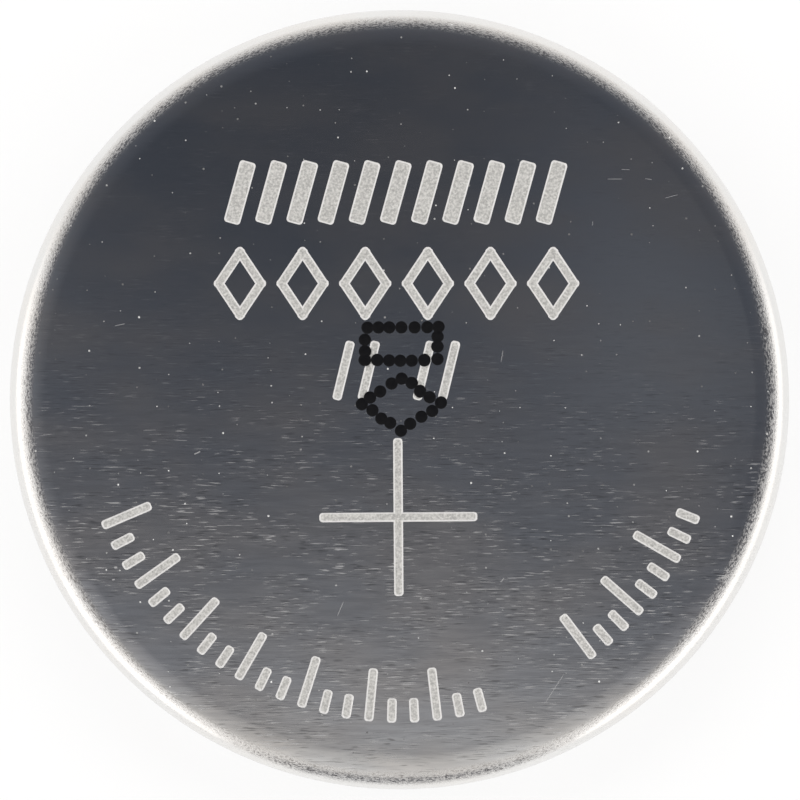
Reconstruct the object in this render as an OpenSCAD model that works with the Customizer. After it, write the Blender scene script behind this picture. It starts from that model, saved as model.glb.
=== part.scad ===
// Lithium coin cell of the 20 x 3.2 mm size, in millimetres.
// It rests on its negative cap: z = 0 is the cap's contact face, and the plus face is up.
// Every piece is a revolve about Z. Its section is drawn in the right half plane,
// where x is the distance from the axis and y is the height.

/* [Cell] */
// Diameter over the side wall
cell_d = 20; // [12:0.1:30]
// Height from contact face to contact face
cell_h = 3.2; // [2.6:0.05:8]

/* [Positive can] */
// Thickness of the can's steel
can_t = 0.25; // [0.15:0.01:0.35]
// Outer radius of the edge between the plus face and the wall
corner_r = 0.65; // [0.45:0.05:1]
// Outer radius of the crimp, where the wall rolls in over the gasket
crimp_r = 1; // [0.85:0.05:1.2]
// Straight stretch of the rolled-in lip
lip_l = 0.05; // [0.02:0.01:0.3]
// Height of the crimp above the cap's contact face
crimp_z = 0.22; // [0.1:0.01:0.4]

/* [Gasket] */
// Thickness of the gasket between the can and the cap
gasket_t = 0.28; // [0.2:0.01:0.35]
// Thickness under the edge of the cap's skirt
gasket_base = 0.35; // [0.2:0.01:0.6]
// Thickness of the wall inside the cap's skirt
gasket_inner_t = 0.3; // [0.2:0.01:0.5]
// Room between that inner wall and the cap's shoulder
gasket_inner_gap = 0.5; // [0.1:0.05:0.8]
// Width of the bead that shows inside the lip
bead_w = 0.25; // [0.15:0.01:0.5]
// Depth of the bead below the lip's outer face
bead_sink = 0.05; // [0.02:0.01:0.15]
// Radius of the bead's open edge
bead_r = 0.1; // [0.05:0.01:0.14]

/* [Negative cap] */
// Thickness of the cap's steel
cap_t = 0.25; // [0.15:0.01:0.3]
// Outer radius of the bends at the step round the contact face
step_r = 0.4; // [0.32:0.01:0.5]
// Slope of the step, in degrees from the contact face
step_a = 60; // [45:1:75]
// Width of the ledge between the step and the gasket's bead
ledge_w = 0.21; // [0.05:0.01:1]

/* [Inside] */
// Thickness of the lithium alloy disc
anode_t = 1; // [0.8:0.05:1.3]
// Margin between the disc's edge and the step of the cap
anode_margin = 0.25; // [0.1:0.05:1]
// Thickness of the separator
separator_t = 0.15; // [0.05:0.01:0.3]
// Inner radius of the separator's turned-up rim
separator_bend = 0.15; // [0.05:0.01:0.2]
// Distance that the separator's rim stops short of the can's floor
separator_stop = 0.5; // [0.2:0.05:0.8]
// Clearance between the separator and the cathode ring
separator_gap = 0.1; // [0.05:0.01:0.3]
// Clearance between the separator and the gasket
gasket_gap = 0.3; // [0.1:0.05:1]
// Thickness of the cathode ring's steel
ring_t = 0.15; // [0.1:0.01:0.2]
// Inner radius of the ring's bend
ring_bend = 0.1; // [0.05:0.01:0.15]
// Width of the ring's flange, measured from the tablet's side
ring_flange = 1.2; // [0.5:0.05:3]
// Distance that the ring stops short of the tablet's face
ring_stop = 0.35; // [0.2:0.05:0.5]
// Chamfer round the tablet's face
tablet_chamfer = 0.12; // [0.05:0.01:0.18]

/* [Hidden] */
$fn = 96;
// Stretches that each bend of the cap's step is drawn with
arc_steps = 10;

cell_r = cell_d / 2;
// The can's inside
can_in_r = cell_r - can_t;
floor_z = cell_h - can_t;
corner_in = corner_r - can_t;
// The crimp's bend, which the gasket and the cap's shoulder follow round the same centre
crimp_x = cell_r - crimp_r;
crimp_y = crimp_z + crimp_r;
lip_x = crimp_x - lip_l;
// The gasket, from outside to inside
gasket_bend = crimp_r - can_t;
groove_r = can_in_r - gasket_t;
gasket_in_r = groove_r - cap_t - gasket_inner_t;
groove_z = floor_z - gasket_base;
inner_wall_z = crimp_y + gasket_inner_gap;
bead_x = lip_x - bead_w;
bead_z = crimp_z + bead_sink;
// The cap: the step runs from the contact face up to the ledge
shoulder_bend = gasket_bend - gasket_t;
ledge_z = crimp_z + can_t + gasket_t;
ledge_x = bead_x - ledge_w;
step_in = step_r - cap_t;
step_drop = ledge_z - (step_r + step_in) * (1 - cos(step_a));
step_l = step_drop / sin(step_a);
step_w = (step_r + step_in) * sin(step_a) + step_l * cos(step_a);
contact_r = ledge_x - step_w;
// The stack between the cap and the can's floor: the tablet takes what height is left
anode_r = contact_r - anode_margin;
separator_z = cap_t + anode_t;
tablet_z = separator_z + separator_t;
separator_out = gasket_in_r - gasket_gap;
separator_in = separator_out - separator_t;
ring_out = separator_in - separator_gap;
tablet_r = ring_out - ring_t;
flange_z = floor_z - ring_t;

// Part of a ring, or of a disc where inner is 0, from the angle start on
module sector(centre, outer, inner, start, sweep = 90) {
    reach = 2 * outer;
    translate(centre) rotate(start) intersection() {
        difference() {
            circle(outer);
            if (inner > 0) circle(inner);
        }
        polygon([[0, 0], [reach, 0], reach * [cos(sweep), sin(sweep)]]);
    }
}

// Rectangle between two heights and two distances from the axis
module band(x1, x2, y1, y2) {
    translate([x1, y1]) square([x2 - x1, y2 - y1]);
}

module positive_can() {
    color("#64666d") rotate_extrude() {
        band(0, cell_r - corner_r, floor_z, cell_h);
        sector([cell_r - corner_r, cell_h - corner_r], corner_r, corner_in, 0);
        band(can_in_r, cell_r, crimp_y, cell_h - corner_r);
        sector([crimp_x, crimp_y], crimp_r, gasket_bend, -90);
        band(lip_x, crimp_x, crimp_z, crimp_z + can_t);
    }
}

module gasket() {
    color("#2c2d30") rotate_extrude() {
        difference() {
            union() {
                band(gasket_in_r, can_in_r - corner_in, groove_z, floor_z);
                sector([can_in_r - corner_in, floor_z - corner_in], corner_in, 0, 0);
                band(groove_r, can_in_r, crimp_y, floor_z - corner_in);
            }
            band(groove_r - cap_t, groove_r, crimp_y, groove_z);
        }
        band(gasket_in_r, groove_r - cap_t, inner_wall_z, groove_z);
        sector([crimp_x, crimp_y], gasket_bend, shoulder_bend, -90);
        band(lip_x, crimp_x, crimp_z + can_t, ledge_z);
        bead();
    }
}

// The bead stands beside the lip's edge, with a rounded edge on its open side
module bead() {
    band(bead_x, lip_x, bead_z + bead_r, ledge_z);
    band(bead_x + bead_r, lip_x, bead_z, bead_z + bead_r);
    sector([bead_x + bead_r, bead_z + bead_r], bead_r, 0, 180);
}

// Points along an arc
function arc(centre, r, from, to) =
    [for (i = [0:arc_steps]) let (a = from + (to - from) * i / arc_steps)
        centre + r * [cos(a), sin(a)]];

function backwards(points) = [for (i = [len(points) - 1:-1:0]) points[i]];

module negative_cap() {
    first_bend = [contact_r, step_r];
    second_bend = [ledge_x, ledge_z - step_in];
    outer_face = concat([[0, 0]], arc(first_bend, step_r, -90, step_a - 90),
                        arc(second_bend, step_in, step_a + 90, 90), [[crimp_x, ledge_z]]);
    inner_face = concat([[0, cap_t]], arc(first_bend, step_in, -90, step_a - 90),
                        arc(second_bend, step_r, step_a + 90, 90),
                        [[crimp_x, ledge_z + cap_t]]);
    color("#b9babd") rotate_extrude() {
        polygon(concat(outer_face, backwards(inner_face)));
        sector([crimp_x, crimp_y], shoulder_bend, shoulder_bend - cap_t, -90);
        band(groove_r - cap_t, groove_r, crimp_y, groove_z);
    }
}

// The tablet fills the ring: it has a rebate for the flange and a round edge in the ring's bend
module cathode_pellet() {
    bend_z = flange_z - ring_bend;
    color("#2b2a2a") rotate_extrude() {
        polygon([[0, tablet_z], [tablet_r - tablet_chamfer, tablet_z],
                 [tablet_r, tablet_z + tablet_chamfer], [tablet_r, bend_z], [0, bend_z]]);
        band(0, tablet_r - ring_bend, bend_z, flange_z);
        sector([tablet_r - ring_bend, bend_z], ring_bend, 0, 0);
        band(0, tablet_r - ring_flange, flange_z, floor_z);
    }
}

module cathode_ring() {
    bend_out = ring_bend + ring_t;
    color("#a8a9ac") rotate_extrude() {
        band(tablet_r - ring_flange, ring_out - bend_out, flange_z, floor_z);
        sector([ring_out - bend_out, floor_z - bend_out], bend_out, ring_bend, 0);
        band(tablet_r, ring_out, tablet_z + ring_stop, floor_z - bend_out);
    }
}

module separator() {
    bend_out = separator_bend + separator_t;
    color("#ece9e1") rotate_extrude() {
        band(0, separator_out - bend_out, separator_z, tablet_z);
        sector([separator_out - bend_out, separator_z + bend_out], bend_out, separator_bend, -90);
        band(separator_in, separator_out, separator_z + bend_out, floor_z - separator_stop);
    }
}

module anode_disc() {
    color("#8e9094") rotate_extrude() band(0, anode_r, cap_t, separator_z);
}

positive_can();
gasket();
negative_cap();
cathode_pellet();
cathode_ring();
separator();
anode_disc();
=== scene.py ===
from math import cos, radians, sin

import bmesh
import bpy
from mathutils import Matrix, Vector


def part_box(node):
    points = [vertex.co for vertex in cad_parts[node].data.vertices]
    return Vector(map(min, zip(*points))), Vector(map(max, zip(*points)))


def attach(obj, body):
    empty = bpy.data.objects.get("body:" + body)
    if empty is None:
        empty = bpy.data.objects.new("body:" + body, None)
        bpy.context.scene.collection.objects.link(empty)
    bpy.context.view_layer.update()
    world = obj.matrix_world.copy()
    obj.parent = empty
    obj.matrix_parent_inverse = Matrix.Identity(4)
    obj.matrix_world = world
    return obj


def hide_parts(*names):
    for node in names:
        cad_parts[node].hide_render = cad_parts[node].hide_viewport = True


# Rechargeable lithium coin cell, seen from straight above on its plus face.
# Sizes in the dictionaries are millimetres, degrees or plain factors, and scales are per metre.
# A pair such as crest says where a ramp starts and where it is full.
mm = 0.001
tiny, mergeWithin = 1e-6, 1e-7  # metres
noiseSpan, noiseMiddle = (0.3, 0.7), 0.5  # where most of a noise lies
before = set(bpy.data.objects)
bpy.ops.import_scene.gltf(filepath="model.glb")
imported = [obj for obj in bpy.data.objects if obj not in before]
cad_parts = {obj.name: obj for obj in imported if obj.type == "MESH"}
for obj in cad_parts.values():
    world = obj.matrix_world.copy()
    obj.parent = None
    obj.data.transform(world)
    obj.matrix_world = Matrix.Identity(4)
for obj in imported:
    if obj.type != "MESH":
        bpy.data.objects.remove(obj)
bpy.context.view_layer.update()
print("frame loaded:", ", ".join(sorted(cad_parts)))


def boxMm(node):  # the lowest and highest corners of a node in the frame, in millimetres
    return [[round(side / mm, 3) for side in corner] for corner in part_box(node)]


def addNode(tree, kind, inputs=None, **settings):
    node = tree.nodes.new(kind)
    for name, value in settings.items():
        setattr(node, name, value)
    for key, value in (inputs or {}).items():
        if isinstance(value, bpy.types.NodeSocket):
            tree.links.new(value, node.inputs[key])
        else:
            node.inputs[key].default_value = value
    return node


def newMaterial(name):
    material = bpy.data.materials.new(name)
    material.use_nodes = True
    tree = material.node_tree
    position = tree.nodes.new("ShaderNodeTexCoord").outputs["Object"]
    return material, tree, tree.nodes["Principled BSDF"], position


def calc(tree, operation, a, b=0.0):
    return addNode(tree, "ShaderNodeMath", {0: a, 1: b}, operation=operation).outputs[0]


def product(tree, first, *others):
    for other in others:
        first = calc(tree, "MULTIPLY", first, other)
    return first


def lessOf(tree, value, other):
    return calc(tree, "SUBTRACT", value, other)


def ramp(tree, value, low, high, toLow=0.0, toHigh=1.0):
    inputs = {"Value": value, "From Min": low, "From Max": high, "To Min": toLow, "To Max": toHigh}
    return addNode(tree, "ShaderNodeMapRange", inputs, interpolation_type="SMOOTHSTEP").outputs[0]


def rampMm(tree, value, ends, toLow=0.0, toHigh=1.0):
    return ramp(tree, value, ends[0] * mm, ends[1] * mm, toLow, toHigh)


def mixColor(tree, factor, a, b):
    inputs = {0: factor}
    for key, color in ((6, a), (7, b)):
        inputs[key] = color + (1,) if isinstance(color, tuple) else color
    return addNode(tree, "ShaderNodeMix", inputs, data_type="RGBA").outputs[2]


def mixShader(tree, factor, first, second):
    inputs = {0: factor, 1: first.outputs[0], 2: second.outputs[0]}
    return addNode(tree, "ShaderNodeMixShader", inputs)


def shaded(color, factor):
    return tuple(factor * c for c in color)


def scaled(tree, position, scale, turn=0.0):
    inputs = {"Vector": position, "Scale": scale, "Rotation": (0, 0, radians(turn))}
    return addNode(tree, "ShaderNodeMapping", inputs).outputs[0]


def flattened(tree, vector):  # the part of a vector that lies level
    inputs = {0: vector, 1: (1, 1, 0)}
    return addNode(tree, "ShaderNodeVectorMath", inputs, operation="MULTIPLY").outputs[0]


def lengthOf(tree, vector):
    return addNode(tree, "ShaderNodeVectorMath", {0: vector}, operation="LENGTH").outputs["Value"]


def axesOf(tree, vector):
    return addNode(tree, "ShaderNodeSeparateXYZ", {0: vector}).outputs


def directionOf(tree, vector):
    unit = addNode(tree, "ShaderNodeVectorMath", {0: vector}, operation="NORMALIZE").outputs[0]
    return axesOf(tree, unit)


def noise(tree, vector, scale=1.0, detail=2.0, roughness=0.5):
    inputs = {"Vector": vector, "Scale": scale, "Detail": detail, "Roughness": roughness}
    return addNode(tree, "ShaderNodeTexNoise", inputs).outputs[0]


def drawnOut(tree, position, length, width, detail=2.0, turn=0.0):  # noise stretched along X
    long, wide = 1 / (length * mm), 1 / (width * mm)
    return noise(tree, scaled(tree, position, (long, wide, wide), turn), detail=detail)


def bump(tree, height, depth, normal=None):
    inputs = {"Height": height, "Strength": 1.0, "Distance": depth * mm}
    if normal:
        inputs["Normal"] = normal
    return addNode(tree, "ShaderNodeBump", inputs).outputs[0]


def setSurface(tree, shader, color, rough, normal, metal=None):
    for name, source in (("Base Color", color), ("Roughness", rough), ("Normal", normal)):
        tree.links.new(source, shader.inputs[name])
    if metal is not None:
        shader.inputs["Metallic"].default_value = metal


def lineTo(bm, last, x, z):
    point = bmesh.ops.extrude_vert_indiv(bm, verts=[last])["verts"][0]
    point.co = (x * mm, 0, z * mm)
    return point


def bendRound(bm, last, x, z, turn, steps):  # carries the line on round the centre x, z
    made = bmesh.ops.spin(bm, geom=[last], cent=(x * mm, 0, z * mm), axis=(0, 1, 0),
                          angle=radians(turn), steps=steps)
    return next(g for g in made["geom_last"] if isinstance(g, bmesh.types.BMVert))


def spinAll(bm, segments):
    bmesh.ops.spin(bm, geom=bm.verts[:] + bm.edges[:], cent=(0, 0, 0), axis=(0, 0, 1),
                   angle=radians(360), steps=segments, use_merge=True)


def turnOnLathe(bm, segments):
    bmesh.ops.remove_doubles(bm, verts=bm.verts, dist=mergeWithin)
    spinAll(bm, segments)
    bmesh.ops.remove_doubles(bm, verts=bm.verts, dist=mergeWithin)
    rims = [e for e in bm.edges if e.is_boundary]
    if rims:
        bmesh.ops.holes_fill(bm, edges=rims, sides=0)
    bmesh.ops.recalc_face_normals(bm, faces=bm.faces)


shading = dict(sharpAngle=30, levelFrom=0.99999)


def shade(mesh):  # level faces stay flat, so that a mirror finish shows no fan
    mesh.set_sharp_from_angle(angle=radians(shading["sharpAngle"]))
    for face in mesh.polygons:
        face.use_smooth = abs(face.normal.z) < shading["levelFrom"]


def addPiece(name, bm, materials, node):
    mesh = bpy.data.meshes.new(name)
    bm.to_mesh(mesh)
    bm.free()
    for material in materials:
        mesh.materials.append(material)
    shade(mesh)
    piece = bpy.data.objects.new(name, mesh)
    bpy.context.collection.objects.link(piece)
    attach(piece, "root")
    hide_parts(node)
    return piece


steelLook = dict(
    cool=(0.758, 0.785, 0.81), warm=(0.81, 0.785, 0.758), cloudScale=(260, 500, 500),
    roughness=0.15, roughSpread=0.02,
    # rolling marks grow from the middle of the face towards -Y, where the steel is also painted
    # paler: painted light on the viewer's side
    fade=(3, -4.5), fadeLeast=0.12, paleLitColor=(0.95, 0.95, 0.95), paleLitShare=0.2,
    # streaks, in patches: crests painted bright, a painted highlight, and troughs painted dark, a
    # painted shade
    streakLength=0.44, streakWidth=0.036, streakDepth=0.0006, streakRoughness=0.34,
    patchScale=(700, 1800, 1800), patch=(0.3, 0.6), patchFloor=0.1,
    crest=(0.595, 0.75), paintedHighlightColor=(0.97, 0.97, 0.97),
    trough=(0.425, 0.28), troughShadeColor=(0.36, 0.36, 0.36), troughShadeShare=0.85,
    bandLength=1.1, bandWidth=0.12, band=(0.35, 0.65), bandColor=(0.5, 0.5, 0.51), bandShare=0.3,
    # the grain of the drawn edge: its size, where it starts and ends, and how much further out
    # that is on the near side, -Y, and on the far side
    grainAlong=0.085, grainAcross=0.036, grainDepth=0.006, grainRoughness=0.36, wallMiddle=1.885,
    grainStart=(9.25, 9.43), startNear=(-0.5, -0.9), startNearBy=0.13, startFarBy=0.1,
    grainEnd=(9.57, 9.69), endNear=(-0.82, -0.985), endNearBy=0.2, endFarBy=0.09, far=(0.1, 0.55),
    bend=(2.6, 2.8), polish=0.75, edgeColor=(0.84, 0.825, 0.8), edgeShare=0.7,
    # the grain's hollows are real pits, painted darker: painted shade in them
    frost=(0.46, 0.6), pit=(0.46, 0.36), pitShadeColor=(0.36, 0.34, 0.33), pitShadeShare=0.75,
    # dust specks, few of them bright, and painted dimmer in the face's darker half: painted shade on
    # the specks
    speckSpacing=0.42, speckSize=0.027, speckShare=0.36, speckAbove=3.1,
    speckDark=(0.13, 0.13, 0.13), speckBright=(0.9, 0.9, 0.88), speckPower=2.4,
    speckShadeFade=(0.2, 0.6), speckShadeTone=(0.6, 0.9),
    # hairlines and nicks, real wear that is also painted with the crests' pale colour as a painted
    # glint: x, y, angle, length, width
    scratches=[(-5.13, -1.35, 25, 0.2, 0.045), (3.93, -7.34, 57, 1.0, 0.022),
               (5.74, 5.84, -3, 0.25, 0.02), (5.47, 5.6, 0, 0.45, 0.022),
               (6.32, 5.6, -8, 0.2, 0.02), (6.9, 5.16, 15, 0.4, 0.018),
               (-1.5, -5.31, 67, 0.45, 0.02), (-7.1, 1.9, 12, 0.3, 0.02),
               (2.6, 1.1, 80, 0.35, 0.02), (2.61, -4.58, 50, 0.16, 0.035),
               (-7.2, -4.26, 0, 0.09, 0.08), (-7.26, -4.57, 10, 0.08, 0.05),
               (4.9, 4.47, 85, 0.13, 0.02)],
    scratchEnds=(1.0, 0.6), scratchSides=(1.0, 0.3))


def scratchMask(tree, position, look, x, y, angle, length, width):
    inputs = {"Vector": position, "Location": (x * mm, y * mm, 0),
              "Rotation": (0, 0, radians(angle)), "Scale": (length / 2 * mm, width / 2 * mm, 1)}
    local = axesOf(tree, addNode(tree, "ShaderNodeMapping", inputs, vector_type="TEXTURE").outputs[0])
    along = ramp(tree, calc(tree, "ABSOLUTE", local["X"]), *look["scratchEnds"])
    across = ramp(tree, calc(tree, "ABSOLUTE", local["Y"]), *look["scratchSides"])
    return product(tree, along, across)


def rollSheet(tree, position, lower, look):
    rolled = drawnOut(tree, position, look["streakLength"], look["streakWidth"], detail=1.0)
    bands = drawnOut(tree, position, look["bandLength"], look["bandWidth"])
    patches = ramp(tree, noise(tree, scaled(tree, position, look["patchScale"])), *look["patch"])
    patches = product(tree, patches, lower)
    lines = product(tree, ramp(tree, rolled, *look["crest"]), patches)
    # painted shade: the streaks' troughs
    troughShade = product(tree, ramp(tree, rolled, *look["trough"]), patches)
    bands = product(tree, ramp(tree, bands, *look["band"]), lower)
    for scratch in look["scratches"]:
        lines = calc(tree, "MAXIMUM", lines, scratchMask(tree, position, look, *scratch))
    relief = product(tree, rolled, calc(tree, "ADD", patches, look["patchFloor"]))
    return lines, troughShade, bands, relief


def grainEdge(tree, position, place, look):  # the grain runs round with the edge and the wall
    level = flattened(tree, position)
    radius, around = lengthOf(tree, level), directionOf(tree, level)
    turns = can["radius"] / look["grainAlong"]
    height = calc(tree, "ABSOLUTE", lessOf(tree, place["Z"], look["wallMiddle"] * mm))
    across = calc(tree, "DIVIDE", lessOf(tree, radius, height), look["grainAcross"] * mm)
    spot = addNode(tree, "ShaderNodeCombineXYZ", {0: product(tree, around["X"], turns),
                                                  1: product(tree, around["Y"], turns), 2: across})
    grain = noise(tree, spot.outputs[0], detail=2.0, roughness=0.6)
    start, end = radius, radius
    for side, by in (("startNear", "startNearBy"), ("far", "startFarBy")):
        start = lessOf(tree, start, ramp(tree, around["Y"], *look[side], 0.0, look[by] * mm))
    for side, by in (("endNear", "endNearBy"), ("far", "endFarBy")):
        end = lessOf(tree, end, ramp(tree, around["Y"], *look[side], 0.0, look[by] * mm))
    drawn = rampMm(tree, start, look["grainStart"])
    ended = rampMm(tree, end, look["grainEnd"])
    # past its end the bend is polished, and the wall below the bend isn't
    polished = product(tree, ended, rampMm(tree, place["Z"], look["bend"]), look["polish"])
    rim = product(tree, drawn, lessOf(tree, 1.0, polished))
    frosted = product(tree, ramp(tree, grain, *look["frost"]), rim)
    # painted shade in the grain's hollows, short of the bend's polished end
    pitShade = product(tree, ramp(tree, grain, *look["pit"]), drawn, lessOf(tree, 1.0, ended))
    return drawn, frosted, pitShade, product(tree, lessOf(tree, grain, noiseMiddle), rim)


def sprinkleDust(tree, position, place, lower, look):
    inputs = {"Vector": position, "Scale": 1 / (look["speckSpacing"] * mm)}
    cells = addNode(tree, "ShaderNodeTexVoronoi", inputs, voronoi_dimensions="2D").outputs
    random = addNode(tree, "ShaderNodeSeparateColor", {0: cells["Color"]}).outputs
    size = product(tree, random[1], look["speckSize"] / look["speckSpacing"])
    dust = product(tree, calc(tree, "LESS_THAN", cells["Distance"], size),
                   calc(tree, "LESS_THAN", random[0], look["speckShare"]),
                   calc(tree, "GREATER_THAN", place["Z"], look["speckAbove"] * mm))
    # each speck's own random tone, darkened by painted shade in the face's darker +Y half
    toneAndShade = product(tree, calc(tree, "POWER", random[2], look["speckPower"]),
                   ramp(tree, lower, *look["speckShadeFade"], *look["speckShadeTone"]))
    return dust, mixColor(tree, toneAndShade, look["speckDark"], look["speckBright"])


def makeCanSteel(look):
    material, tree, shader, position = newMaterial("canSteel")
    place = axesOf(tree, position)
    lower = rampMm(tree, place["Y"], look["fade"], look["fadeLeast"], 1.0)
    lines, troughShade, bands, relief = rollSheet(tree, position, lower, look)
    drawn, frosted, pitShade, coarse = grainEdge(tree, position, place, look)
    dust, dustColor = sprinkleDust(tree, position, place, lower, look)
    cloud = noise(tree, scaled(tree, position, look["cloudScale"]), detail=3.0)

    color = mixColor(tree, ramp(tree, cloud, *noiseSpan), look["cool"], look["warm"])
    # painted light: the steel is paler towards -Y
    color = mixColor(tree, product(tree, lower, look["paleLitShare"]), color, look["paleLitColor"])
    color = mixColor(tree, product(tree, bands, look["bandShare"]), color, look["bandColor"])
    # painted shade in the streaks' troughs
    color = mixColor(tree, product(tree, troughShade, look["troughShadeShare"]), color, look["troughShadeColor"])
    # painted highlight on the streaks' crests and on the hairlines
    color = mixColor(tree, lines, color, look["paintedHighlightColor"])
    color = mixColor(tree, dust, color, dustColor)
    color = mixColor(tree, product(tree, drawn, look["edgeShare"]), color, look["edgeColor"])
    # painted shade in the pits
    color = mixColor(tree, product(tree, pitShade, look["pitShadeShare"]), color, look["pitShadeColor"])
    spread = look["roughSpread"]
    rough = ramp(tree, cloud, *noiseSpan, look["roughness"] - spread, look["roughness"] + spread)
    rough = calc(tree, "ADD", rough, product(tree, lines, look["streakRoughness"]))
    rough = calc(tree, "ADD", rough, product(tree, frosted, look["grainRoughness"]))
    normal = bump(tree, coarse, look["grainDepth"], bump(tree, relief, look["streakDepth"]))
    setSurface(tree, shader, color, rough, normal)
    tree.links.new(lessOf(tree, 1.0, dust), shader.inputs["Metallic"])
    return material


etchLook = dict(
    color=(0.565, 0.555, 0.53), dark=0.68, light=1.26, roughness=(0.5, 0.7), metal=0.25,
    # rim is the flanks' lighter colour, a painted highlight along each stroke's edge
    rim=(0.755, 0.745, 0.73), rimDark=0.92, rimRoughness=(0.45, 0.6), rimMetal=0.2,
    grainSize=0.062, depth=0.0035)


def makeEtched(look):
    material, tree, shader, position = newMaterial("etchedMark")
    grain = noise(tree, position, 1 / (look["grainSize"] * mm), detail=3.0, roughness=0.7)
    color = mixColor(tree, ramp(tree, grain, *noiseSpan), shaded(look["color"], look["dark"]),
                     shaded(look["color"], look["light"]))
    setSurface(tree, shader, color, ramp(tree, grain, *noiseSpan, *look["roughness"]),
               bump(tree, grain, look["depth"]), look["metal"])
    return material


def makeEtchedRimHighlight(look):  # the raised bright edge of each stroke: the flanks are painted lighter, a painted highlight
    material, tree, shader, position = newMaterial("etchedRimHighlight")
    grain = noise(tree, position, 1 / (look["grainSize"] * mm))
    color = mixColor(tree, ramp(tree, grain, *noiseSpan), shaded(look["rim"], look["rimDark"]),
                     look["rim"])
    setSurface(tree, shader, color, ramp(tree, grain, *noiseSpan, *look["rimRoughness"]),
               bump(tree, grain, look["depth"]), look["rimMetal"])
    return material


inkLook = dict(color=(0.0022, 0.0022, 0.003), pale=(0.005, 0.005, 0.006), mottleScale=9000,
               roughness=(0.42, 0.6), gloss=0.18, depth=0.0015)


def makeInk(look):
    material, tree, shader, position = newMaterial("dotInk")
    mottle = noise(tree, position, look["mottleScale"])
    shader.inputs["Specular IOR Level"].default_value = look["gloss"]
    setSurface(tree, shader, mixColor(tree, mottle, look["color"], look["pale"]),
               ramp(tree, mottle, *noiseSpan, *look["roughness"]),
               bump(tree, mottle, look["depth"]))
    return material


canLow, canHigh = boxMm("positive_can")
can = dict(
    radius=canHigh[0], height=canHigh[2], crimpZ=canLow[2], steel=0.25, crimpRadius=1.0, lip=0.05,
    lipRound=0.03, flatRadius=9.0, crownTurn=3.5, crownRun=0.36, innerCorner=0.4, segments=256,
    crownSteps=10, bendSteps=24, lipSteps=5, innerSteps=12, cornerSteps=8)


def drawCan(size):
    bm = bmesh.new()
    turn, run = size["crownTurn"], size["crownRun"]
    crownRadius = run / sin(radians(turn))
    edgeX = size["flatRadius"] + run
    edgeZ = size["height"] - crownRadius * (1 - cos(radians(turn)))
    corner = (size["radius"] - edgeX) / (1 - sin(radians(turn)))
    cornerX, cornerZ = size["radius"] - corner, edgeZ - corner * cos(radians(turn))
    crownZ = size["height"] - crownRadius
    crimpX, crimpY = size["radius"] - size["crimpRadius"], size["crimpZ"] + size["crimpRadius"]
    inner = size["radius"] - size["steel"]
    floor = size["height"] - size["steel"]
    innerX, innerZ = inner - size["innerCorner"], floor - size["innerCorner"]
    soft = size["lipRound"]
    lipX, lipTop = crimpX - size["lip"], size["crimpZ"] + size["steel"]
    last = bm.verts.new((size["flatRadius"] * mm, 0, size["height"] * mm))
    last = bendRound(bm, last, size["flatRadius"], crownZ, turn, size["crownSteps"])
    last = bendRound(bm, last, cornerX, cornerZ, 90 - turn, size["bendSteps"])
    last = lineTo(bm, last, size["radius"], crimpY)
    last = bendRound(bm, last, crimpX, crimpY, 90, size["bendSteps"])
    last = lineTo(bm, last, lipX + soft, size["crimpZ"])
    last = bendRound(bm, last, lipX + soft, size["crimpZ"] + soft, 90, size["lipSteps"])
    last = lineTo(bm, last, lipX, lipTop)
    last = lineTo(bm, last, crimpX, lipTop)
    last = bendRound(bm, last, crimpX, crimpY, -90, size["innerSteps"])
    last = lineTo(bm, last, inner, innerZ)
    bendRound(bm, last, innerX, innerZ, -90, size["cornerSteps"])
    turnOnLathe(bm, size["segments"])
    return bm


# Marks in the plus face: the polarity sign, and rows of plain etched shapes.
marks = dict(
    depth=0.026, above=0.01, flank=0.04, stroke=0.238, endRound=0.09, mostRound=0.48,
    roundSegments=5, floorSlot=1, flankSlot=2,
    plusX=-0.03, plusY=-2.98, plusSize=4.01, plusTurn=0.4,
    barFirst=-4.05, barLast=3.86, barCount=11, barLow=4.47, barHigh=6.05, barWidth=0.42, barLean=16,
    lozengeFirst=-4.05, lozengeLast=3.9, lozengeCount=6, lozengeY=2.95, lozengeTall=1.83,
    lozengeWide=1.3,
    dashes=(-1.42, -0.78, 0.62, 1.26), dashY=0.74, dashTall=1.5, dashLean=14,
    # two curved scales of ticks, from angle to angle
    scales=((203, 285), (307, 338)), tickInner=6.85, tickOuter=8.2, tickShort=0.62, tickPitch=4.0,
    longEvery=3)


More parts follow.
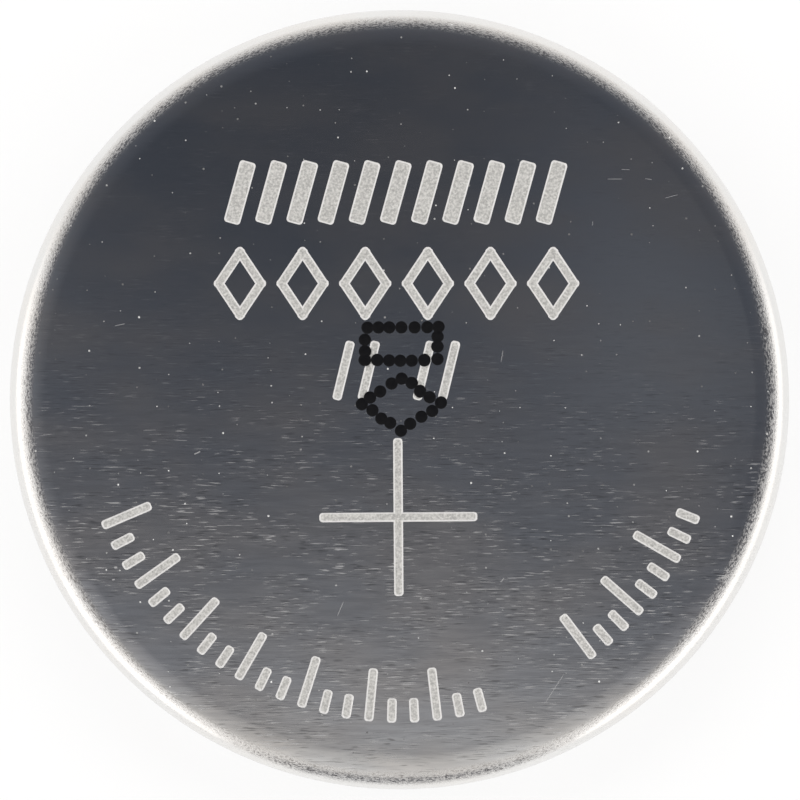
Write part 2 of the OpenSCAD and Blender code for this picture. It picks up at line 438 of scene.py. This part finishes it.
def addBar(bm, x1, y1, x2, y2, width, size):  # the cutter of one stroke: round ends, sloping flanks
    start, end = Vector((x1, y1, 0)) * mm, Vector((x2, y2, 0)) * mm
    tall = size["depth"] + size["above"]
    slope = size["flank"] / size["depth"]
    wide = width + 2 * slope * size["above"]
    length = (end - start).length / mm + wide
    block = Matrix.Diagonal((length * mm, wide * mm, tall * mm, 1))
    verts = bmesh.ops.create_cube(bm, size=1.0, matrix=block)["verts"]
    edges = {e for v in verts for e in v.link_edges}
    upright = [e for e in edges if abs(e.verts[0].co.z - e.verts[1].co.z) > tiny]
    endRound = min(size["endRound"], width * size["mostRound"])
    made = bmesh.ops.bevel(bm, geom=upright, offset=endRound * mm, affect="EDGES",
                           segments=size["roundSegments"], profile=0.5, material=-1)
    verts = list({v for v in verts + made["verts"] if v.is_valid})
    low = [v for v in verts if v.co.z < 0]
    narrowed = (1 - 2 * slope * tall / length, 1 - 2 * slope * tall / wide, 1)
    bmesh.ops.scale(bm, verts=low, vec=narrowed)
    for face in {f for v in verts for f in v.link_faces}:
        isFloor = all(v.co.z < 0 for v in face.verts)
        face.material_index = size["floorSlot"] if isFloor else size["flankSlot"]
    middle = (start + end) / 2
    middle.z = (can["height"] + (size["above"] - size["depth"]) / 2) * mm
    turn = Matrix.Rotation((end - start).to_2d().angle_signed(Vector((1, 0))), 4, "Z")
    bmesh.ops.transform(bm, matrix=Matrix.Translation(middle) @ turn, verts=verts)


def addTick(bm, radius1, radius2, angle, size):
    a, s = radians(angle), size["stroke"]
    addBar(bm, radius1 * cos(a), radius1 * sin(a), radius2 * cos(a), radius2 * sin(a), s, size)


def drawMarks(size):
    bm = bmesh.new()
    s, half = size["stroke"], (size["plusSize"] - size["stroke"]) / 2
    x, y = size["plusX"], size["plusY"]
    across, along = half * cos(radians(size["plusTurn"])), half * sin(radians(size["plusTurn"]))
    addBar(bm, x - across, y - along, x + across, y + along, s, size)
    addBar(bm, x + along, y - across, x - along, y + across, s, size)

    w = size["barWidth"]  # heavy row
    low, high = size["barLow"] + w / 2, size["barHigh"] - w / 2
    lean = (high - low) * sin(radians(size["barLean"])) / 2
    pitch = (size["barLast"] - size["barFirst"]) / (size["barCount"] - 1)
    for i in range(size["barCount"]):
        x = size["barFirst"] + i * pitch
        addBar(bm, x - lean, low, x + lean, high, w, size)

    tall, wide = size["lozengeTall"] / 2 - s / 2, size["lozengeWide"] / 2 - s / 2
    y = size["lozengeY"]
    pitch = (size["lozengeLast"] - size["lozengeFirst"]) / (size["lozengeCount"] - 1)
    for i in range(size["lozengeCount"]):
        x = size["lozengeFirst"] + i * pitch
        corners = [(x - wide, y), (x, y + tall), (x + wide, y), (x, y - tall)]
        for a, b in zip(corners, corners[1:] + corners[:1]):
            addBar(bm, *a, *b, s, size)

    half, y = (size["dashTall"] - s) / 2, size["dashY"]
    lean = half * sin(radians(size["dashLean"]))
    for x in size["dashes"]:
        addBar(bm, x - lean, y - half, x + lean, y + half, s, size)

    for first, last in size["scales"]:
        count = round((last - first) / size["tickPitch"])
        for i in range(count + 1):
            isLong = i % size["longEvery"] == 0
            inner = size["tickInner"] if isLong else size["tickOuter"] - size["tickShort"]
            angle = first + (last - first) * i / count
            addTick(bm, inner + s / 2, size["tickOuter"] - s / 2, angle, size)
    bmesh.ops.recalc_face_normals(bm, faces=bm.faces)
    return bm


dots = dict(
    width=0.33, rise=0.012, sunk=0.35, pitch=0.3, around=20, rings=10, inkSlot=3,
    # every drop lands a little off its place
    off=0.03, offX=(37, 11), offY=(23, -17),
    loops=([(-0.9, 0.98), (-0.84, 1.8), (0.98, 1.88), (0.96, 1.04)],
           [(-0.97, -0.12), (0.03, 0.56), (1.05, -0.1), (0.05, -0.78)]))


def addInkDots(bm, size):  # two loops of drops, each a flat dome
    flat = Matrix.Diagonal((1, 1, 2 * size["rise"] * (1 + size["sunk"]) / size["width"], 1))
    (a1, b1), (a2, b2) = size["offX"], size["offY"]
    spots = []
    for loop in size["loops"]:
        corners = [Vector((x, y, 0)) for x, y in loop]
        for a, b in zip(corners, corners[1:] + corners[:1]):
            count = round((b - a).length / size["pitch"])
            spots += [a.lerp(b, i / count) for i in range(count)]
    for spot in spots:
        off = Vector((sin(a1 * spot.x + b1 * spot.y), cos(a2 * spot.x + b2 * spot.y), 0))
        spot += off * size["off"]
        spot.z = can["height"] - size["rise"] * size["sunk"]
        made = bmesh.ops.create_uvsphere(bm, u_segments=size["around"], v_segments=size["rings"],
                                         radius=size["width"] / 2 * mm,
                                         matrix=Matrix.Translation(spot * mm) @ flat)
        for face in {f for v in made["verts"] for f in v.link_faces}:
            face.material_index = size["inkSlot"]


def makeCan():
    materials = [makeCanSteel(steelLook), makeEtched(etchLook), makeEtchedRimHighlight(etchLook),
                 makeInk(inkLook)]
    piece = addPiece("positiveCan", drawCan(can), materials, "positive_can")
    cutterMesh = bpy.data.meshes.new("markCutter")
    bm = drawMarks(marks)
    bm.to_mesh(cutterMesh)
    bm.free()
    cutter = bpy.data.objects.new("markCutter", cutterMesh)
    bpy.context.collection.objects.link(cutter)
    cut = piece.modifiers.new("marks", "BOOLEAN")
    cut.object, cut.operation, cut.solver, cut.use_self = cutter, "DIFFERENCE", "EXACT", True
    bpy.context.view_layer.update()
    whole = piece.evaluated_get(bpy.context.evaluated_depsgraph_get())
    carved = bpy.data.meshes.new_from_object(whole)
    piece.modifiers.clear()
    bpy.data.objects.remove(cutter)
    bm = bmesh.new()
    bm.from_mesh(carved)
    addInkDots(bm, dots)
    bm.to_mesh(piece.data)
    bm.free()
    bpy.data.meshes.remove(carved)
    shade(piece.data)


gasketLook = dict(color=(0.018, 0.018, 0.02), pale=(0.04, 0.04, 0.044), roughness=(0.35, 0.52),
                  grainSize=0.09, depth=0.004)


def makeGasketPlastic(look):
    material, tree, shader, position = newMaterial("gasketPlastic")
    grain = noise(tree, position, 1 / (look["grainSize"] * mm), detail=3.0)
    setSurface(tree, shader, mixColor(tree, grain, look["color"], look["pale"]),
               ramp(tree, grain, *noiseSpan, *look["roughness"]), bump(tree, grain, look["depth"]))
    return material


gasket = dict(
    thick=0.28, base=0.35, innerThick=0.3, innerGap=0.5, beadWide=0.25, beadSink=0.05,
    beadRound=0.1, capSteel=0.25, segments=256,
    cornerSteps=8, outerSteps=12, innerSteps=8, beadSteps=8)


def drawGasket(size):
    bm = bmesh.new()
    inner = can["radius"] - can["steel"]
    floor = can["height"] - can["steel"]
    corner = can["innerCorner"]
    crimpX, crimpY = can["radius"] - can["crimpRadius"], can["crimpZ"] + can["crimpRadius"]
    groove = inner - size["thick"]
    grooveIn = groove - size["capSteel"]
    grooveTop = floor - size["base"]
    hole = grooveIn - size["innerThick"]
    lipX, lipTop = crimpX - can["lip"], can["crimpZ"] + can["steel"]
    ledge = lipTop + size["thick"]
    beadX, beadZ, r = lipX - size["beadWide"], can["crimpZ"] + size["beadSink"], size["beadRound"]
    wall = crimpY + size["innerGap"]
    first = last = bm.verts.new((hole * mm, 0, floor * mm))
    last = lineTo(bm, last, inner - corner, floor)
    last = bendRound(bm, last, inner - corner, floor - corner, 90, size["cornerSteps"])
    last = lineTo(bm, last, inner, crimpY)
    last = bendRound(bm, last, crimpX, crimpY, 90, size["outerSteps"])
    last = lineTo(bm, last, lipX, lipTop)
    last = lineTo(bm, last, lipX, beadZ)
    last = lineTo(bm, last, beadX + r, beadZ)
    last = bendRound(bm, last, beadX + r, beadZ + r, 90, size["beadSteps"])
    last = lineTo(bm, last, beadX, ledge)
    last = lineTo(bm, last, crimpX, ledge)
    last = bendRound(bm, last, crimpX, crimpY, -90, size["innerSteps"])
    last = lineTo(bm, last, groove, grooveTop)
    last = lineTo(bm, last, grooveIn, grooveTop)
    last = lineTo(bm, last, grooveIn, wall)
    last = lineTo(bm, last, hole, wall)
    bm.edges.new((last, first))
    turnOnLathe(bm, size["segments"])
    return bm


capLook = dict(
    color=(0.63, 0.62, 0.6), dark=0.87, roughness=(0.25, 0.37), cloudScale=700,
    pebbleSize=0.11, pebbleDepth=0.0035, pebble=(0.45, 0.25), pebbleHollowShade=0.7, pebbleShadeShare=0.4,
    lineLength=1.3, lineWidth=0.05, lineDepth=0.0004, lineTurn=12,
    line=(0.35, 0.65), lineShade=1.2, lineShare=0.5)


def makeCapSteel(look):
    material, tree, shader, position = newMaterial("capSteel")
    pebble = noise(tree, position, 1 / (look["pebbleSize"] * mm), detail=1.5)
    lines = drawnOut(tree, position, look["lineLength"], look["lineWidth"], turn=look["lineTurn"])
    cloud = noise(tree, position, look["cloudScale"], detail=3.0, roughness=0.6)
    color = mixColor(tree, ramp(tree, cloud, *noiseSpan), shaded(look["color"], look["dark"]),
                     look["color"])
    color = mixColor(tree, ramp(tree, lines, *look["line"], 0.0, look["lineShare"]), color,
                     shaded(look["color"], look["lineShade"]))
    # painted shade: the pebbling's hollows are darkened
    color = mixColor(tree, ramp(tree, pebble, *look["pebble"], 0.0, look["pebbleShadeShare"]), color,
                     shaded(look["color"], look["pebbleHollowShade"]))
    normal = bump(tree, pebble, look["pebbleDepth"], bump(tree, lines, look["lineDepth"]))
    setSurface(tree, shader, color, ramp(tree, cloud, *noiseSpan, *look["roughness"]), normal, 1.0)
    return material


capLow, capHigh = boxMm("negative_cap")
cap = dict(contactZ=capLow[2], skirtTop=capHigh[2], steel=0.25, contactRadius=7.7395,
           ledgeWide=0.21, bendRadius=0.4, slope=60, segments=256, bendSteps=8, tightSteps=6)


def drawCap(size):
    bm = bmesh.new()
    t, outer = size["steel"], size["bendRadius"]
    tight = outer - t
    slope = size["slope"]
    crimpX, crimpY = can["radius"] - can["crimpRadius"], can["crimpZ"] + can["crimpRadius"]
    shoulder = can["crimpRadius"] - can["steel"] - gasket["thick"]
    skirt = crimpX + shoulder
    ledgeX = crimpX - can["lip"] - gasket["beadWide"] - size["ledgeWide"]
    ledgeZ = can["crimpZ"] + can["steel"] + gasket["thick"]
    last = bm.verts.new((size["contactRadius"] * mm, 0, size["contactZ"] * mm))
    last = bendRound(bm, last, size["contactRadius"], outer, -slope, size["bendSteps"])
    step = (sin(radians(slope)), cos(radians(slope)))
    last = lineTo(bm, last, ledgeX - tight * step[0], ledgeZ - tight * (1 - step[1]))
    last = bendRound(bm, last, ledgeX, ledgeZ - tight, slope, size["tightSteps"])
    last = lineTo(bm, last, crimpX, ledgeZ)
    last = bendRound(bm, last, crimpX, crimpY, -90, size["bendSteps"])
    last = lineTo(bm, last, skirt, size["skirtTop"])
    last = lineTo(bm, last, skirt - t, size["skirtTop"])
    last = lineTo(bm, last, skirt - t, crimpY)
    last = bendRound(bm, last, crimpX, crimpY, 90, size["bendSteps"])
    last = lineTo(bm, last, ledgeX, ledgeZ + t)
    last = bendRound(bm, last, ledgeX, ledgeZ - tight, -slope, size["tightSteps"])
    last = lineTo(bm, last, size["contactRadius"] + tight * step[0], outer - tight * step[1])
    bendRound(bm, last, size["contactRadius"], outer, slope, size["tightSteps"])
    turnOnLathe(bm, size["segments"])
    return bm


powderLook = dict(color=(0.018, 0.017, 0.016), pale=(0.05, 0.048, 0.045), gritScale=14000,
                  grit=(0.35, 0.7), roughness=(0.95, 0.7), depth=0.012)


def makePowder(look):
    material, tree, shader, position = newMaterial("pressedPowder")
    grit = noise(tree, position, look["gritScale"], detail=4.0, roughness=0.7)
    setSurface(tree, shader, mixColor(tree, grit, look["color"], look["pale"]),
               ramp(tree, grit, *look["grit"], *look["roughness"]), bump(tree, grit, look["depth"]))
    return material


ringLook = dict(color=(0.6, 0.6, 0.6), dark=0.85, lineScale=(3000, 3000, 40000),
                roughness=(0.22, 0.36), depth=0.0006)


def makeRingSteel(look):
    material, tree, shader, position = newMaterial("ringSteel")
    lines = noise(tree, scaled(tree, position, look["lineScale"]))
    color = mixColor(tree, lines, shaded(look["color"], look["dark"]), look["color"])
    setSurface(tree, shader, color, ramp(tree, lines, *noiseSpan, *look["roughness"]),
               bump(tree, lines, look["depth"]), 1.0)
    return material


fibreLook = dict(color=(0.82, 0.81, 0.78), dark=0.8, webScale=(1500, 26000, 26000),
                 webTurns=(20, 75, 140), web=(0.45, 0.75), roughness=(0.95, 0.8), depth=0.012)


def makeFibre(look):
    material, tree, shader, position = newMaterial("separatorFibre")
    across = [noise(tree, scaled(tree, position, look["webScale"], turn), detail=1.0)
              for turn in look["webTurns"]]
    web = calc(tree, "MAXIMUM", calc(tree, "MAXIMUM", across[0], across[1]), across[2])
    color = mixColor(tree, ramp(tree, web, *look["web"]), shaded(look["color"], look["dark"]),
                     look["color"])
    setSurface(tree, shader, color, ramp(tree, web, *look["web"], *look["roughness"]),
               bump(tree, web, look["depth"]))
    return material


alloyLook = dict(color=(0.42, 0.43, 0.45), dull=(0.22, 0.22, 0.24), cloudScale=900, pitScale=11000,
                 roughness=(0.65, 0.42), metal=0.9, depth=0.004)


def makeAlloy(look):
    material, tree, shader, position = newMaterial("anodeAlloy")
    cloud = noise(tree, position, look["cloudScale"], detail=5.0, roughness=0.65)
    color = mixColor(tree, ramp(tree, cloud, *noiseSpan), look["dull"], look["color"])
    pits = noise(tree, position, look["pitScale"], detail=3.0)
    setSurface(tree, shader, color, ramp(tree, cloud, *noiseSpan, *look["roughness"]),
               bump(tree, pits, look["depth"]), look["metal"])
    return material


def dressNode(name, material):  # a CAD node keeps its mesh and takes a better finish
    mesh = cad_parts[name].data
    mesh.materials.clear()
    mesh.materials.append(material)


studio = dict(
    lens=100, sensor=36, clipStart=0.001, clipEnd=20,
    aimHeight=2.55, distance=57.05, aimX=0.013, aimY=-0.008,
    floorSize=3000, floorHole=7.8, floorSegments=96, openTo=9.8,
    floorColor=(0.94, 0.935, 0.925), floorRoughness=0.9, floorGlow=0.8, mirroredGlow=0.7,
    lampRadius=330, lampHeight=330, lampSize=260, lampPower=0.31, lampCount=6, farSideShare=0.7)


def makeFloorMaterial(size):
    material, tree, shader, position = newMaterial("paleFloor")
    shader.inputs["Base Color"].default_value = size["floorColor"] + (1,)
    shader.inputs["Roughness"].default_value = size["floorRoughness"]
    glow = addNode(tree, "ShaderNodeEmission", {"Color": (1, 1, 1, 1), "Strength": 1.0})
    rays = addNode(tree, "ShaderNodeLightPath").outputs
    seen = calc(tree, "MAXIMUM", rays["Is Camera Ray"], rays["Is Transmission Ray"])
    # the steel shows more of the floor's shadow than the camera does
    share = calc(tree, "MAXIMUM", product(tree, seen, size["floorGlow"]),
                 product(tree, rays["Is Glossy Ray"], size["mirroredGlow"]))
    mixed = mixShader(tree, share, shader, glow)
    clear = addNode(tree, "ShaderNodeBsdfTransparent")
    below = addNode(tree, "ShaderNodeNewGeometry").outputs["Backfacing"]
    # light from below reaches the underside, and the camera still sees the shadow there
    under = product(tree, calc(tree, "LESS_THAN", lengthOf(tree, position), size["openTo"] * mm),
                    lessOf(tree, 1.0, rays["Is Camera Ray"]))
    sided = mixShader(tree, calc(tree, "MAXIMUM", below, under), mixed, clear)
    tree.links.new(sided.outputs[0], tree.nodes["Material Output"].inputs["Surface"])
    return material


def makeFloor(size):
    bm = bmesh.new()  # a disc with a hole that lies hidden under the cell
    lineTo(bm, bm.verts.new((size["floorHole"] * mm, 0, 0)), size["floorSize"], 0)
    spinAll(bm, size["floorSegments"])
    bm.normal_update()
    if next(iter(bm.faces)).normal.z < 0:
        bmesh.ops.reverse_faces(bm, faces=bm.faces)
    mesh = bpy.data.meshes.new("floor")
    bm.to_mesh(mesh)
    bm.free()
    mesh.materials.append(makeFloorMaterial(size))
    floor = bpy.data.objects.new("floor", mesh)
    bpy.context.collection.objects.link(floor)


sky = dict(
    # overhead, from +Y to -Y: the viewer's side is lighter
    overheadMiddle=0.5, overheadSpread=2.5,
    overhead=[(0.0, 0.046), (0.21, 0.046), (0.345, 0.06), (0.42, 0.07), (0.48, 0.077), (0.57, 0.09),
              (0.61, 0.119), (0.66, 0.128), (0.7, 0.152), (0.745, 0.157), (0.79, 0.16), (0.84, 0.3),
              (0.88, 0.4), (1.0, 0.5)],
    rightGlow=0.058, rightX=(0.02, 0.12), rightY=(-0.035, 0.0),
    lowerFade=0.14, lowerX=(0.03, 0.12), lowerY=(-0.01, -0.07),
    # level against the angle from overhead, 1 being the horizon
    left=[(0.1, 0.092), (0.13, 0.12), (0.155, 0.15), (0.18, 0.18), (0.3, 0.24), (0.4, 0.34),
          (0.46, 0.5), (0.5, 1.0), (0.53, 1.35), (0.8, 1.42), (1.0, 1.4)],
    right=[(0.1, 0.067), (0.13, 0.078), (0.18, 0.09), (0.3, 0.13), (0.45, 0.2), (0.53, 0.27),
           (0.57, 0.9), (0.6, 1.3), (0.8, 1.4), (1.0, 1.35)],
    far=[(0.1, 0.048), (0.13, 0.065), (0.155, 0.08), (0.18, 0.09), (0.31, 0.11), (0.46, 0.15),
         (0.6, 0.21), (0.67, 0.34), (0.715, 0.86), (0.8, 0.9), (1.0, 0.94)],
    corners=[(0.1, 0.2), (0.13, 0.285), (0.155, 0.325), (0.18, 0.37), (0.3, 0.46), (0.42, 0.58),
             (0.48, 0.8), (0.54, 1.4), (0.66, 1.5), (1.0, 1.5)],
    near=[(0.1, 0.44), (0.13, 0.56), (0.155, 0.63), (0.18, 0.67), (0.31, 0.71), (0.5, 0.76),
          (0.6, 0.8), (0.67, 1.35), (1.0, 1.4)],
    # how far round each side reaches, as the sine from the X axis, and where overhead ends
    rightTurn=(-0.3, 0.3), farTurn=(0.1, 0.65), cornerTurn=(-0.3, -0.75), cornerSlant=0.1,
    nearTurn=(-0.76, -0.96), overheadEnd=(0.094, 0.112),
    # a dark gap low on the viewer's side, which the edge mirrors
    gap=0.2, gapAngle=(0.61, 0.7), gapTurn=(-0.87, -0.97),
    below=0.7, belowAngle=(1.05, 1.9), level=0.95,
    tint=[(0.05, (0.905, 1.0, 1.24)), (0.09, (0.955, 1.0, 1.17)), (0.13, (0.965, 1.0, 1.105)),
          (0.21, (1.0, 1.0, 1.08)), (0.35, (1.02, 1.0, 1.02)), (0.55, (1.03, 1.0, 0.97)),
          (1.0, (1.02, 1.0, 0.985))])


def colorCurve(tree, value, stops):
    node = addNode(tree, "ShaderNodeValToRGB", {0: value})
    elements = node.color_ramp.elements
    for i, (at, color) in enumerate(stops):
        stop = elements[i] if i < 2 else elements.new(at)
        stop.position = at
        stop.color = color + (1,)
    return node.outputs[0]


def greyCurve(tree, value, stops):
    color = colorCurve(tree, value, [(at, (level, level, level)) for at, level in stops])
    return addNode(tree, "ShaderNodeSeparateColor", {0: color}).outputs[0]


def blend(tree, factor, a, b):
    return addNode(tree, "ShaderNodeMix", {0: factor, 2: a, 3: b}).outputs[0]


def lightOverhead(tree, d, look):
    along = lessOf(tree, look["overheadMiddle"], product(tree, d["Y"], look["overheadSpread"]))
    over = greyCurve(tree, along, look["overhead"])
    rightSide = product(tree, ramp(tree, d["X"], *look["rightX"]),
                        ramp(tree, d["Y"], *look["rightY"]))
    over = calc(tree, "ADD", over, product(tree, rightSide, look["rightGlow"]))
    lowSides = product(tree, ramp(tree, calc(tree, "ABSOLUTE", d["X"]), *look["lowerX"]),
                       ramp(tree, d["Y"], *look["lowerY"]))
    return product(tree, over, lessOf(tree, 1.0, product(tree, lowSides, look["lowerFade"])))


def lightAround(tree, angle, toward, look):
    light = blend(tree, ramp(tree, toward["X"], *look["rightTurn"]),
                  greyCurve(tree, angle, look["left"]), greyCurve(tree, angle, look["right"]))
    light = blend(tree, ramp(tree, toward["Y"], *look["farTurn"]), light,
                  greyCurve(tree, angle, look["far"]))
    slanted = calc(tree, "ADD", toward["Y"], product(tree, toward["X"], look["cornerSlant"]))
    light = blend(tree, ramp(tree, slanted, *look["cornerTurn"]), light,
                  greyCurve(tree, angle, look["corners"]))
    light = blend(tree, ramp(tree, toward["Y"], *look["nearTurn"]), light,
                  greyCurve(tree, angle, look["near"]))
    gap = product(tree, ramp(tree, angle, *look["gapAngle"]),
                  ramp(tree, toward["Y"], *look["gapTurn"]))
    return blend(tree, gap, light, look["gap"])


def makeSky(look):
    world = bpy.data.worlds.new("studioTent")
    bpy.context.scene.world = world
    world.use_nodes = True
    tree = world.node_tree
    direction = addNode(tree, "ShaderNodeTexCoord").outputs["Generated"]
    d = axesOf(tree, direction)
    toward = directionOf(tree, flattened(tree, direction))
    angle = calc(tree, "DIVIDE", calc(tree, "ARCCOSINE", d["Z"]), radians(90))
    light = blend(tree, ramp(tree, angle, *look["overheadEnd"]), lightOverhead(tree, d, look),
                  lightAround(tree, angle, toward, look))
    light = product(tree, light, ramp(tree, angle, *look["belowAngle"], 1.0, look["below"]))
    tint = colorCurve(tree, light, look["tint"])
    glow = addNode(tree, "ShaderNodeBackground", {"Color": tint,
                                                  "Strength": product(tree, light, look["level"])})
    plain = addNode(tree, "ShaderNodeBackground", {"Color": (1, 1, 1, 1), "Strength": 1.0})
    seen = addNode(tree, "ShaderNodeLightPath").outputs["Is Camera Ray"]
    both = mixShader(tree, seen, glow, plain)
    tree.links.new(both.outputs[0], tree.nodes["World Output"].inputs["Surface"])


def makeLamps(size):
    for i in range(size["lampCount"]):
        turn = radians(360 * (i + 0.5) / size["lampCount"])
        x, y = size["lampRadius"] * cos(turn), size["lampRadius"] * sin(turn)
        lamp = bpy.data.lights.new(f"softLamp{i + 1}", "AREA")
        lamp.shape, lamp.size = "DISK", size["lampSize"] * mm
        lamp.energy = size["lampPower"] * (1 + size["farSideShare"] * sin(turn))
        holder = bpy.data.objects.new(f"softLamp{i + 1}", lamp)
        holder.location = Vector((x, y, size["lampHeight"])) * mm
        holder.rotation_euler = (-holder.location).to_track_quat("-Z", "Y").to_euler()
        holder.visible_glossy = False  # the steel mirrors the tent alone
        bpy.context.collection.objects.link(holder)


def makeCamera(size):
    camera = bpy.data.cameras.new("camera")
    camera.lens, camera.sensor_width = size["lens"], size["sensor"]
    camera.clip_start, camera.clip_end = size["clipStart"], size["clipEnd"]
    holder = bpy.data.objects.new("camera", camera)
    height = size["aimHeight"] + size["distance"]
    holder.location = Vector((size["aimX"], size["aimY"], height)) * mm
    bpy.context.collection.objects.link(holder)
    bpy.context.scene.camera = holder


makeCamera(studio)
makeFloor(studio)
makeSky(sky)
makeLamps(studio)
bpy.context.scene.view_settings.view_transform = "Standard"
print("studio ready")

makeCan()
print("can made")
addPiece("sealGasket", drawGasket(gasket), [makeGasketPlastic(gasketLook)],
         "gasket")
addPiece("negativeCap", drawCap(cap), [makeCapSteel(capLook)], "negative_cap")
print("gasket and cap made")
dressNode("cathode_pellet", makePowder(powderLook))
dressNode("cathode_ring", makeRingSteel(ringLook))
dressNode("separator", makeFibre(fibreLook))
dressNode("anode_disc", makeAlloy(alloyLook))
print("inner pieces finished")
